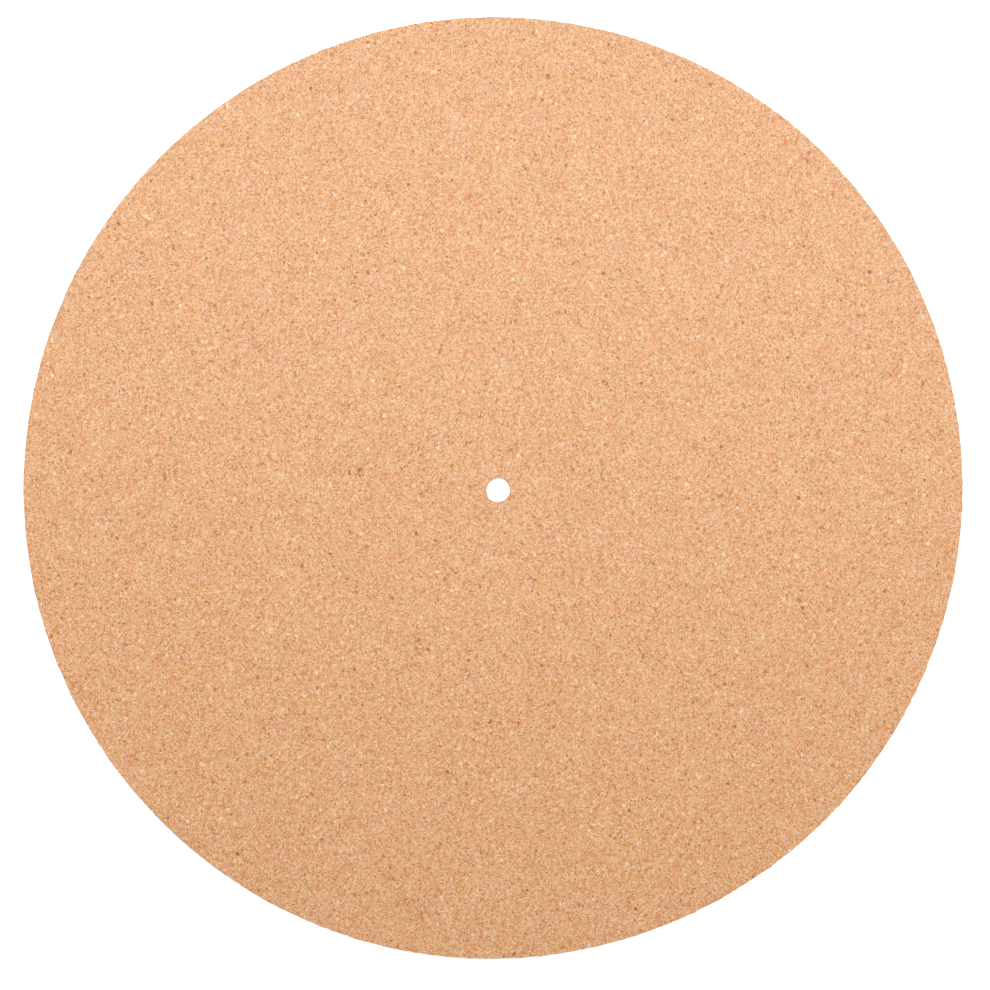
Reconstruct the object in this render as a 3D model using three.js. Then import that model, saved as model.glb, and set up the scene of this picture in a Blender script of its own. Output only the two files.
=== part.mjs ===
// Turntable platter mat: a flat disc of fine agglomerated cork with a spindle hole.
// Millimetres, +Z up. The origin is the centre of the underside, on the spindle's axis.

import * as THREE from 'three';

// Driving dimensions
const matDiameter = 295; // reaches just under the rim of a 12 inch record
const matThickness = 3;
const spindleHoleDiameter = 7.5; // clears a 7.2 mm spindle
const edgeSoftening = 0.2; // radius that the cut edges crumble to

// Fineness of the turned surfaces
const turnSegments = 180;
const softeningSteps = 2;

const cork = new THREE.MeshStandardMaterial({
  name: 'cork',
  color: new THREE.Color().setRGB(0.804, 0.45, 0.247),
  roughness: 0.9,
  metalness: 0,
});

// Quarter arc from one direction to the next round an edge's centre, both ends included
function softenedEdge(centreRadius, centreHeight, startAngle) {
  const points = [];
  for (let step = 0; step <= softeningSteps; step += 1) {
    const angle = startAngle + (step / softeningSteps) * (Math.PI / 2);
    points.push(new THREE.Vector2(
      centreRadius + edgeSoftening * Math.cos(angle),
      centreHeight + edgeSoftening * Math.sin(angle),
    ));
  }
  return points;
}

// Section of the mat from the hole's wall to the rim, once round and back to its first point
function matSection() {
  const holeSide = spindleHoleDiameter / 2 + edgeSoftening;
  const rimSide = matDiameter / 2 - edgeSoftening;
  const low = edgeSoftening;
  const high = matThickness - edgeSoftening;
  const section = [
    ...softenedEdge(holeSide, low, Math.PI),
    ...softenedEdge(rimSide, low, -Math.PI / 2),
    ...softenedEdge(rimSide, high, 0),
    ...softenedEdge(holeSide, high, Math.PI / 2),
  ];
  section.push(section[0].clone());
  return section;
}

// The lathe turns about Y, so the mat is stood up on Z
function makeCorkMat() {
  const disc = new THREE.LatheGeometry(matSection(), turnSegments);
  disc.rotateX(Math.PI / 2);
  const mesh = new THREE.Mesh(disc, cork);
  mesh.name = 'cork_mat';
  return mesh;
}

const platterMat = new THREE.Group();
platterMat.add(makeCorkMat());

export default platterMat;
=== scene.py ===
import math
import random

import bmesh
import bpy
from mathutils import Matrix, Vector, noise
from mathutils.bvhtree import BVHTree


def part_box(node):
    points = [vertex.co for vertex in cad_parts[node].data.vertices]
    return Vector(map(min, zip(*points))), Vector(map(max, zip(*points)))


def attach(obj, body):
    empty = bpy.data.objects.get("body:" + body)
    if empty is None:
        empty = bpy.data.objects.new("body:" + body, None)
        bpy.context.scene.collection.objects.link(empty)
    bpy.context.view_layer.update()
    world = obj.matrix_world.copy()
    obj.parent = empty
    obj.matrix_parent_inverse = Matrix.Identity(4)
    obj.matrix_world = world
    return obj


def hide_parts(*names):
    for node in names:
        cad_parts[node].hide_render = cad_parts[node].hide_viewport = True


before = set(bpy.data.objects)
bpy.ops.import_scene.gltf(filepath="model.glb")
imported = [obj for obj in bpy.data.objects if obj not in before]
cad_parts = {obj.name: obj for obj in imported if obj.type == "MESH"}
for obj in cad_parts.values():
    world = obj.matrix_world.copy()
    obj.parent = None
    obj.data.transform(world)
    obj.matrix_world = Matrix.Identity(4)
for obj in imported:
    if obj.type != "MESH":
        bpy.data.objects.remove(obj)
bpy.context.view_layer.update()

mm = 0.001
fullTurn = 2 * math.pi
scene = bpy.context.scene
scene.view_settings.view_transform = "Standard"

matLow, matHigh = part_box("cork_mat")
matRadius = (matHigh.x - matLow.x) / 2
matTop = matHigh.z
matMiddle = matTop / 2
holeRadius = min(Vector(v.co[:2]).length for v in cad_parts["cork_mat"].data.vertices)
measured = [round(length / mm, 2) for length in (matRadius, holeRadius, matTop)]
print("mat radius, hole radius and thickness in mm:", *measured)


# Camera: almost straight above, standing a little towards the picture's left and top

viewFrom = {
    "place": (-75.47 * mm, 31.775 * mm, 995.7 * mm),
    "tilt": (-1.914, -4.287, 0),      # degrees
    "lens": 115.63,
    "sensor": 36,
    "nearest": 10 * mm,
}


def addCamera():
    data = bpy.data.cameras.new("camera")
    data.lens = viewFrom["lens"]
    data.sensor_width = viewFrom["sensor"]
    data.clip_start = viewFrom["nearest"]
    camera = bpy.data.objects.new("camera", data)
    camera.location = viewFrom["place"]
    camera.rotation_euler = [math.radians(a) for a in viewFrom["tilt"]]
    scene.collection.objects.link(camera)
    scene.camera = camera


addCamera()
print("camera done")


# Light: one wide softbox beyond the picture's top edge, and an even white room

softbox = {
    "place": (0.02, 0.205, 0.60),
    "size": (1.5, 0.3),
    "watts": 5.26,
}
room = {"fill": 0.352, "seen": 1.0}


def addSoftbox():
    data = bpy.data.lights.new("softbox", "AREA")
    data.shape = "RECTANGLE"
    data.size, data.size_y = softbox["size"]
    data.energy = softbox["watts"]
    lamp = bpy.data.objects.new("softbox", data)
    lamp.location = softbox["place"]
    lamp.rotation_euler = (-Vector(softbox["place"])).to_track_quat("-Z", "Y").to_euler()
    scene.collection.objects.link(lamp)


def node(tree, kind, place, **values):
    made = tree.nodes.new(kind)
    made.location = place
    for name, value in values.items():
        setattr(made, name, value)
    return made


def calculate(tree, operation, place, *inputs):
    made = node(tree, "ShaderNodeMath", place, operation=operation)
    for socket, value in zip(made.inputs, inputs):
        if isinstance(value, (int, float)):
            socket.default_value = value
        else:
            tree.links.new(value, socket)
    return made.outputs[0]


# 1 where something is seen, mirrored or seen through glass, and 0 where it only gives light
def seenDirectly(tree, place):
    x, y = place
    rays = node(tree, "ShaderNodeLightPath", place).outputs
    seen = calculate(tree, "MAXIMUM", (x + 200, y), rays["Is Camera Ray"], rays["Is Glossy Ray"])
    return calculate(tree, "MAXIMUM", (x + 400, y), seen, rays["Is Transmission Ray"])


def addRoom():
    world = bpy.data.worlds.new("room")
    world.use_nodes = True
    scene.world = world
    tree = world.node_tree
    level = node(tree, "ShaderNodeMapRange", (-100, 0))
    level.inputs["To Min"].default_value = room["fill"]
    level.inputs["To Max"].default_value = room["seen"]
    tree.links.new(seenDirectly(tree, (-800, 0)), level.inputs["Value"])
    tree.links.new(level.outputs[0], tree.nodes["Background"].inputs["Strength"])
    tree.nodes["Background"].inputs["Color"].default_value = (1, 1, 1, 1)


addSoftbox()
addRoom()
print("lights done")


# Floor: plain white, with some light of its own to the camera, so that little but a shadow shows on it

floorSheet = {
    "side": 8.0,
    "drop": 0.1 * mm,                 # keeps it apart from the mat's underside
    "touch": 0.3 * mm,
    "colour": (0.8, 0.8, 0.8, 1),
    "glow": 0.72,
}


def floorMaterial():
    material = bpy.data.materials.new("white floor")
    material.use_nodes = True
    tree = material.node_tree
    paint = tree.nodes["Principled BSDF"]
    paint.inputs["Base Color"].default_value = floorSheet["colour"]
    paint.inputs["Roughness"].default_value = 1.0
    paint.inputs["Specular IOR Level"].default_value = 0.0
    paint.inputs["Emission Color"].default_value = (1, 1, 1, 1)
    seen = seenDirectly(tree, (-900, -300))
    glow = calculate(tree, "MULTIPLY", (-200, -300), seen, floorSheet["glow"])
    tree.links.new(glow, paint.inputs["Emission Strength"])

    # clear from below and close under the mat, so that the underside is seen and lit from there
    facing = node(tree, "ShaderNodeNewGeometry", (-200, 500))
    rays = node(tree, "ShaderNodeLightPath", (-200, 900))
    isClose = calculate(tree, "LESS_THAN", (0, 700), rays.outputs["Ray Length"], floorSheet["touch"])
    isClear = calculate(tree, "MAXIMUM", (200, 500), facing.outputs["Backfacing"], isClose)
    clear = node(tree, "ShaderNodeBsdfTransparent", (200, 200))
    either = node(tree, "ShaderNodeMixShader", (400, 100))
    tree.links.new(isClear, either.inputs["Fac"])
    tree.links.new(paint.outputs[0], either.inputs[1])
    tree.links.new(clear.outputs[0], either.inputs[2])
    tree.links.new(either.outputs[0], tree.nodes["Material Output"].inputs["Surface"])
    return material


def addFloor():
    bm = bmesh.new()
    bmesh.ops.create_grid(bm, x_segments=2, y_segments=2, size=floorSheet["side"] / 2)
    bmesh.ops.translate(bm, verts=bm.verts[:], vec=(0, 0, -floorSheet["drop"]))
    mesh = bpy.data.meshes.new("floor")
    bm.to_mesh(mesh)
    bm.free()
    mesh.materials.append(floorMaterial())
    floor = bpy.data.objects.new("floor", mesh)
    scene.collection.objects.link(floor)


addFloor()
print("floor done")


# The mat's body: the lower half of the hole's wall, the underside and the lower half of the rim are drawn
# out ring by ring, and the upper half is their mirror image

matBody = {
    "holeSegments": 96,               # doubled four times on the way to the rim
    "rings": [0.008, 0.020, "double", 0.050, "double", 0.085, 0.115, "double", 0.138, "double", 0.146],
    "arris": 0.2 * mm,
    "wallRow": 0.65 * mm,
    "weld": 0.001 * mm,
}


def nextRing(bm, ring, radius, height):
    made = bmesh.ops.extrude_edge_only(bm, edges=ring)["geom"]
    verts = {g for g in made if isinstance(g, bmesh.types.BMVert)}
    for v in verts:
        flat = Vector(v.co[:2]).normalized() * radius
        v.co = (flat.x, flat.y, height)
    return [g for g in made if isinstance(g, bmesh.types.BMEdge) and verts.issuperset(g.verts)]


def doubledRing(bm, ring):
    made = bmesh.ops.subdivide_edges(bm, edges=ring, cuts=1)["geom_inner"]
    corners = {g for g in made if isinstance(g, bmesh.types.BMVert)}
    corners |= {v for e in ring if e.is_valid for v in e.verts}
    around = {e for v in corners for e in v.link_edges}
    return [e for e in around if e.is_boundary and corners.issuperset(e.verts)]


def makeBody():
    bm = bmesh.new()
    arris = matBody["arris"]
    row = arris + matBody["wallRow"]
    first = bmesh.ops.create_circle(bm, radius=holeRadius, segments=matBody["holeSegments"])["verts"]
    bmesh.ops.translate(bm, verts=first, vec=(0, 0, matMiddle))
    ring = bm.edges[:]
    ring = nextRing(bm, ring, holeRadius, row)
    ring = nextRing(bm, ring, holeRadius, arris)
    ring = nextRing(bm, ring, holeRadius + arris, 0)
    for step in matBody["rings"]:
        ring = doubledRing(bm, ring) if step == "double" else nextRing(bm, ring, step, 0)
    ring = nextRing(bm, ring, matRadius - arris, 0)
    ring = nextRing(bm, ring, matRadius, arris)
    ring = nextRing(bm, ring, matRadius, row)
    nextRing(bm, ring, matRadius, matMiddle)

    lower = bm.verts[:] + bm.edges[:] + bm.faces[:]
    copied = bmesh.ops.duplicate(bm, geom=lower)["geom"]
    upper = [g for g in copied if isinstance(g, bmesh.types.BMVert)]
    bmesh.ops.scale(bm, verts=upper, vec=(1, 1, -1))
    bmesh.ops.translate(bm, verts=upper, vec=(0, 0, matTop))
    bmesh.ops.remove_doubles(bm, verts=bm.verts[:], dist=matBody["weld"])
    bmesh.ops.recalc_face_normals(bm, faces=bm.faces[:])
    return bm


# Cut edges: the punch leaves the outline some hundredths of a millimetre out of round, and the granules
# that it tears make the wall uneven. Offsets are in mm and go round from +X, anticlockwise from above.
# A nick is an angle in degrees and an offset in mm.

cutEdge = {
    "rimOffsets": [0.03, -0.04, -0.01, 0.01, -0.06, 0.05, 0.05, -0.02, -0.05, -0.04, 0.08, 0.06,
                   0.01, -0.02, -0.06, -0.06, 0.03, 0.13, 0.04, -0.12, -0.09, 0.07, 0.05, 0.00],
    "holeOffsets": [0.22, 0.07, 0.02, 0.10, 0.16, 0.11, 0.11, 0.08, -0.19, -0.09, -0.05, -0.02,
                    -0.04, -0.09, 0.05, 0.10, 0.06, 0.06, 0.01, -0.05, 0.06, 0.13, 0.09, 0.14],
    "nicks": [(338.2, -0.17), (141.2, -0.17), (307.8, -0.16), (42.5, -0.15), (16.0, -0.15), (79.5, -0.14),
              (324.5, -0.14), (357.8, 0.16), (294.9, 0.20), (305.8, 0.14)],
    "nickWidth": 0.9 * mm,
    "wave": 7 * mm,
    "depth": 0.048 * mm,
    "holeWave": 3 * mm,
    "holeDepth": 0.05 * mm,
    "octaves": 4,
    "fineness": 0.6,
    "lacunarity": 2.0,
}


def offsetAt(turn, offsets):
    position = turn / fullTurn * len(offsets)
    before = math.floor(position)
    share = (1 - math.cos(math.pi * (position - before))) / 2
    ahead = offsets[(before + 1) % len(offsets)]
    return mm * (offsets[before % len(offsets)] * (1 - share) + ahead * share)


def nickAt(turn):
    total = 0
    for angle, depth in cutEdge["nicks"]:
        apart = (turn - math.radians(angle) + math.pi) % fullTurn - math.pi
        total += depth * mm * math.exp(-(apart * matRadius / cutEdge["nickWidth"]) ** 2)
    return total


def tornAt(place, wave, depth):
    fineness, lacunarity = cutEdge["fineness"], cutEdge["lacunarity"]
    return depth * noise.fractal(place / wave, -fineness, lacunarity, cutEdge["octaves"])


def roughenCuts(bm):
    reach = 2 * matBody["arris"]
    for v in bm.verts:
        flat = Vector((v.co.x, v.co.y, 0))
        outward = flat.normalized()
        turn = math.atan2(v.co.y, v.co.x)
        if flat.length > matRadius - reach:
            shift = offsetAt(turn, cutEdge["rimOffsets"]) + nickAt(turn)
            v.co += outward * (shift + tornAt(v.co, cutEdge["wave"], cutEdge["depth"]))
        elif flat.length < holeRadius + reach:
            shift = offsetAt(turn, cutEdge["holeOffsets"])
            v.co += outward * (shift + tornAt(v.co, cutEdge["holeWave"], cutEdge["holeDepth"]))


# Voids: where a granule has come away from a face, the rim or the hole's wall, it leaves a small hollow

voids = {
    "seed": 12,
    "faceCount": 3400,
    "faceSize": (0.22 * mm, 0.55 * mm),
    "faceDepth": (0.12 * mm, 0.30 * mm),
    "apart": 1.7 * mm,
    "edgeMargin": 1.3 * mm,
    "wallPitch": 2.1 * mm,
    "wallChance": {"arris": 0.55, "middle": 0.75},
    "wallStray": 0.3,
    "wallLift": 0.3 * mm,
    "wallSize": (0.20 * mm, 0.55 * mm),
    "wallDepth": (0.10 * mm, 0.26 * mm),
    "ballRadius": 0.85,               # of a void's own size, before its corners are moved
    "angular": 0.30,
}


def facePlaces(draw):
    taken = set()
    places = []
    inner, outer = holeRadius + voids["edgeMargin"], matRadius - voids["edgeMargin"]
    while len(places) < voids["faceCount"]:
        radius = math.sqrt(draw.uniform(inner ** 2, outer ** 2))
        turn = draw.uniform(0, fullTurn)
        height = draw.choice((0, matTop))
        x, y = radius * math.cos(turn), radius * math.sin(turn)
        column, row = int(x // voids["apart"]), int(y // voids["apart"])
        near = {(column + i, row + j, height) for i in (-1, 0, 1) for j in (-1, 0, 1)}
        if near & taken:
            continue
        taken.add((column, row, height))
        places.append((Vector((x, y, height)), voids["faceSize"], voids["faceDepth"]))
    return places


def wallPlaces(draw, radius):
    slots = int(fullTurn * radius / voids["wallPitch"])
    chance = voids["wallChance"]
    rows = ((0, chance["arris"]), (matMiddle, chance["middle"]), (matTop, chance["arris"]))
    stray, lift = voids["wallStray"], voids["wallLift"]
    places = []
    for slot in range(slots):
        for height, share in rows:
            turn = fullTurn * (slot + draw.uniform(stray, 1 - stray)) / slots
            up = height + draw.uniform(-lift, lift) * (height == matMiddle)
            place = Vector((radius * math.cos(turn), radius * math.sin(turn), up))
            if draw.random() < share:
                places.append((place, voids["wallSize"], voids["wallDepth"]))
    return places


def makeGranules(places, draw):
    bm = bmesh.new()
    bmesh.ops.create_icosphere(bm, subdivisions=1, radius=voids["ballRadius"])
    corners = len(bm.verts)
    mesh = bpy.data.meshes.new("granule")
    bm.to_mesh(mesh)
    bm.free()
    granules = bpy.data.objects.new("granules", mesh)
    scene.collection.objects.link(granules)
    copies = granules.modifiers.new("copies", "ARRAY")
    copies.use_relative_offset = False
    copies.count = len(places)
    found = bpy.context.evaluated_depsgraph_get()
    granules.data = bpy.data.meshes.new_from_object(granules.evaluated_get(found))
    granules.modifiers.clear()
    for number, (place, size, depth) in enumerate(places):
        axis = Vector([draw.gauss(0, 1) for _ in range(3)]).normalized()
        turned = Matrix.Rotation(draw.uniform(0, fullTurn), 4, axis)
        long = draw.uniform(*size)
        shape = Matrix.Diagonal((long, draw.uniform(size[0], long), draw.uniform(*depth), 1))
        put = Matrix.Translation(place) @ turned @ shape
        for v in granules.data.vertices[number * corners:(number + 1) * corners]:
            slip = Vector([draw.uniform(-1, 1) for _ in range(3)]) * voids["angular"]
            v.co = put @ (v.co + slip)
    return granules


def cutVoids(mat, granules):
    cut = mat.modifiers.new("voids", "BOOLEAN")
    cut.operation = "DIFFERENCE"
    cut.solver = "MANIFOLD"
    cut.object = granules
    found = bpy.context.evaluated_depsgraph_get()
    mat.data = bpy.data.meshes.new_from_object(mat.evaluated_get(found))
    mat.modifiers.clear()
    bpy.data.objects.remove(granules)


# How far each point lies below the unbroken surface, for the painted shade inside the voids

recessMark = {"name": "recess", "least": 0.002 * mm}


def markRecess(bm, whole):
    recess = bm.verts.layers.float.new(recessMark["name"])
    for v in bm.verts:
        distance = whole.find_nearest(v.co)[3]
        v[recess] = distance if distance > recessMark["least"] else 0


# Layout for colours on one square: the upper face with the rim's wall folded out and the hole's wall
# folded in, and the underside smaller in the far corner

layout = {
    "map": "OFBake",
    "topWidth": 0.800,
    "topMiddle": 0.406,
    "underWidth": 0.350,
    "underMiddle": 0.816,
    "margin": 1.2 * mm,
    "steep": 0.5,                     # a wall's normal rises less than this
    "wallReach": 0.7 * mm,
}


def layOut(bm):
    uv = bm.loops.layers.uv.new(layout["map"])
    reach = matRadius + matTop + layout["margin"]
    for face in bm.faces:
        middle = face.calc_center_median()
        fromAxis = Vector(middle[:2]).length
        steep = abs(face.normal.z) < layout["steep"]
        onRim = steep and fromAxis > matRadius - layout["wallReach"]
        inHole = steep and fromAxis < holeRadius + layout["wallReach"]
        under = not (onRim or inHole) and middle.z < matMiddle
        for loop in face.loops:
            point = loop.vert.co
            radius = Vector(point[:2]).length
            spread = radius
            if onRim:
                spread = max(radius, matRadius) + (matTop - point.z)
            elif inHole:
                spread = min(radius, holeRadius) - (matTop - point.z)
            width, centre = layout["topWidth"], layout["topMiddle"]
            across = point.x
            if under:
                width, centre = layout["underWidth"], layout["underMiddle"]
                across = -point.x
            scale = width / 2 / reach * spread / radius
            loop[uv].uv = (centre + across * scale, centre + point.y * scale)


# Cork: cells of three sizes, each size with its own range of colours. A cell's Shade gives its colour,
# and its Pick decides whether it lies over the finer ones.

cork = {
    "stretch": (1.10, 0.91, 1.0),     # the granules lie very slightly longer along Y
    "bendPitch": 0.9 * mm,
    "bendReach": 0.5 * mm,
    "patchPitch": 5.5 * mm,
    "patchReach": 0.11,
    "tints": [
        (0.00, (1.078, 0.945, 0.960)),
        (0.25, (1.012, 1.055, 0.918)),
        (0.50, (1.018, 0.945, 1.042)),
        (0.75, (0.952, 1.055, 0.998)),
        (1.00, (0.958, 0.945, 1.125)),
    ],
    # painted shade inside the voids: full from this depth down, with the darkening factor below
    "recessDepth": 0.25 * mm,
    "paintedRecessShade": 0.75,
    "roughness": 0.5,
    "gloss": 0.5,
    "bump": 0.28,
    "bumpDepth": 0.08 * mm,
}

fineGranules = {
    "size": 0.25 * mm,
    "colours": [
        (0.000, (0.328, 0.062, 0.006)),
        (0.015, (0.413, 0.105, 0.015)),
        (0.100, (0.560, 0.207, 0.054)),
        (0.280, (0.651, 0.291, 0.103)),
        (0.500, (0.734, 0.380, 0.170)),
        (0.700, (0.801, 0.464, 0.246)),
        (0.880, (0.864, 0.552, 0.338)),
        (0.970, (0.912, 0.624, 0.423)),
        (1.000, (0.951, 0.687, 0.505)),
    ],
}

coarseGranules = {
    "size": 0.82 * mm,
    "share": 0.12,
    "colours": [
        (0.000, (0.345, 0.125, 0.036)),
        (0.022, (0.450, 0.190, 0.060)),
        (0.110, (0.639, 0.260, 0.082)),
        (0.300, (0.689, 0.321, 0.123)),
        (0.500, (0.728, 0.374, 0.166)),
        (0.700, (0.759, 0.421, 0.208)),
        (0.880, (0.798, 0.485, 0.270)),
        (0.960, (0.837, 0.553, 0.347)),
        (1.000, (0.880, 0.637, 0.451)),
    ],
}

barkSpecks = {
    "size": 0.42 * mm,
    "share": 0.014,
    "colours": [
        (0.000, (0.290, 0.096, 0.022)),
        (0.500, (0.425, 0.162, 0.042)),
        (1.000, (0.530, 0.232, 0.068)),
    ],
}


def makeGranuleGroup():
    tree = bpy.data.node_groups.new("corkGranules", "ShaderNodeTree")
    tree.interface.new_socket("Vector", in_out="INPUT", socket_type="NodeSocketVector")
    size = tree.interface.new_socket("Size", in_out="INPUT", socket_type="NodeSocketFloat")
    size.default_value = 1 * mm
    for name in ("Shade", "Tint", "Pick", "Outward"):
        tree.interface.new_socket(name, in_out="OUTPUT", socket_type="NodeSocketFloat")
    given = node(tree, "NodeGroupInput", (-400, 0))
    result = node(tree, "NodeGroupOutput", (600, 0))
    cells = node(tree, "ShaderNodeTexVoronoi", (0, 0), feature="F1")
    tree.links.new(given.outputs["Vector"], cells.inputs["Vector"])
    scale = calculate(tree, "DIVIDE", (-200, -100), 1.0, given.outputs["Size"])
    tree.links.new(scale, cells.inputs["Scale"])
    parts = node(tree, "ShaderNodeSeparateColor", (300, 0))
    tree.links.new(cells.outputs["Color"], parts.inputs[0])
    for number, name in enumerate(("Shade", "Tint", "Pick")):
        tree.links.new(parts.outputs[number], result.inputs[name])
    tree.links.new(cells.outputs["Distance"], result.inputs["Outward"])
    return tree


def noiseOver(tree, vector, pitch, place):
    made = node(tree, "ShaderNodeTexNoise", place)
    made.inputs["Scale"].default_value = 1 / pitch
    made.inputs["Detail"].default_value = 1.0
    tree.links.new(vector, made.inputs["Vector"])
    return made.outputs


# a Mix node's sockets for colours share their names with others: 0 is the factor, 6 and 7 are the colours
def mixColours(tree, place, share, first, second, blend="MIX"):
    made = node(tree, "ShaderNodeMix", place, data_type="RGBA", blend_type=blend)
    for number, value in zip((0, 6, 7), (share, first, second)):
        if isinstance(value, (float, tuple)):
            made.inputs[number].default_value = value
        else:
            tree.links.new(value, made.inputs[number])
    return made.outputs[2]


def colourRange(tree, place, value, stops):
    made = node(tree, "ShaderNodeValToRGB", place)
    elements = made.color_ramp.elements
    while len(elements) < len(stops):
        elements.new(0.5)
    for element, (position, colour) in zip(elements, stops):
        element.position = position
        element.color = (*colour, 1)
    tree.links.new(value, made.inputs["Fac"])
    return made.outputs["Color"]


def granuleColours(tree, group, vector, kind, paler, height):
    granules = node(tree, "ShaderNodeGroup", (-1900, height), node_tree=group)
    granules.inputs["Size"].default_value = kind["size"]
    tree.links.new(vector, granules.inputs["Vector"])
    shade = calculate(tree, "ADD", (-1700, height), granules.outputs["Shade"], paler)
    return granules.outputs, colourRange(tree, (-1500, height), shade, kind["colours"])


def corkMaterial():
    material = bpy.data.materials.new("cork")
    material.use_nodes = True
    tree = material.node_tree
    paint = tree.nodes["Principled BSDF"]
    group = makeGranuleGroup()

    where = node(tree, "ShaderNodeTexCoord", (-2900, 0))
    laid = node(tree, "ShaderNodeMapping", (-2700, 0))
    laid.inputs["Scale"].default_value = cork["stretch"]
    tree.links.new(where.outputs["Object"], laid.inputs["Vector"])

    # bends the granules' straight sides and draws some of them out into slivers
    bend = noiseOver(tree, laid.outputs[0], cork["bendPitch"], (-2450, -250))
    bent = node(tree, "ShaderNodeVectorMath", (-2200, -100), operation="MULTIPLY_ADD")
    bent.inputs[1].default_value = [cork["bendReach"] * 2] * 3
    tree.links.new(bend["Color"], bent.inputs[0])
    tree.links.new(laid.outputs[0], bent.inputs[2])
    spots = bent.outputs[0]

    # patches of the sheet are a very little paler or darker than the rest
    patches = noiseOver(tree, laid.outputs[0], cork["patchPitch"], (-2450, 500))
    centred = calculate(tree, "SUBTRACT", (-2250, 500), patches[0], 0.5)
    paler = calculate(tree, "MULTIPLY", (-2080, 500), centred, cork["patchReach"])

    fine, fineColour = granuleColours(tree, group, spots, fineGranules, paler, 600)
    coarse, coarseColour = granuleColours(tree, group, spots, coarseGranules, paler, 200)
    bark, barkColour = granuleColours(tree, group, spots, barkSpecks, paler, -200)
    isCoarse = calculate(tree, "LESS_THAN", (-1200, 0), coarse["Pick"], coarseGranules["share"])
    isBark = calculate(tree, "LESS_THAN", (-1200, -200), bark["Pick"], barkSpecks["share"])
    mixed = mixColours(tree, (-1000, 400), isCoarse, fineColour, coarseColour)
    mixed = mixColours(tree, (-800, 400), isBark, mixed, barkColour)
    tint = colourRange(tree, (-1000, 0), coarse["Tint"], cork["tints"])
    tinted = mixColours(tree, (-600, 400), 1.0, mixed, tint, "MULTIPLY")

    # inside the voids the colour is darker: painted shade, deeper in the void darker
    recess = node(tree, "ShaderNodeAttribute", (-800, -200), attribute_name=recessMark["name"])
    depth = node(tree, "ShaderNodeMapRange", (-600, -200), interpolation_type="SMOOTHSTEP")
    depth.inputs["From Max"].default_value = cork["recessDepth"]
    tree.links.new(recess.outputs["Fac"], depth.inputs["Value"])
    shade = (cork["paintedRecessShade"],) * 3 + (1,)
    shaded = mixColours(tree, (-300, 300), depth.outputs[0], tinted, shade, "MULTIPLY")
    tree.links.new(shaded, paint.inputs["Base Color"])

    bump = node(tree, "ShaderNodeBump", (-300, -400), invert=True)
    bump.inputs["Strength"].default_value = cork["bump"]
    bump.inputs["Distance"].default_value = cork["bumpDepth"]
    tree.links.new(fine["Outward"], bump.inputs["Height"])
    tree.links.new(bump.outputs[0], paint.inputs["Normal"])
    paint.inputs["Roughness"].default_value = cork["roughness"]
    paint.inputs["Specular IOR Level"].default_value = cork["gloss"]
    return material


def addMat():
    draw = random.Random(voids["seed"])
    bm = makeBody()
    roughenCuts(bm)
    whole = BVHTree.FromBMesh(bm)
    mesh = bpy.data.meshes.new("turntable_mat")
    bm.to_mesh(mesh)
    bm.free()
    mat = bpy.data.objects.new("turntable_mat", mesh)
    scene.collection.objects.link(mat)
    print("body done,", len(mesh.polygons), "faces")

    places = facePlaces(draw) + wallPlaces(draw, matRadius) + wallPlaces(draw, holeRadius)
    cutVoids(mat, makeGranules(places, draw))
    bm = bmesh.new()
    bm.from_mesh(mat.data)
    bmesh.ops.dissolve_verts(bm, verts=[v for v in bm.verts if len(v.link_edges) == 2])
    markRecess(bm, whole)
    layOut(bm)
    triangles = sum(len(f.verts) - 2 for f in bm.faces)
    bm.to_mesh(mat.data)
    bm.free()
    print("voids done,", len(places), "voids,", triangles, "triangles")

    mat.data.materials.clear()
    mat.data.materials.append(corkMaterial())
    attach(mat, "root")
    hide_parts("cork_mat")


addMat()
print("mat done")
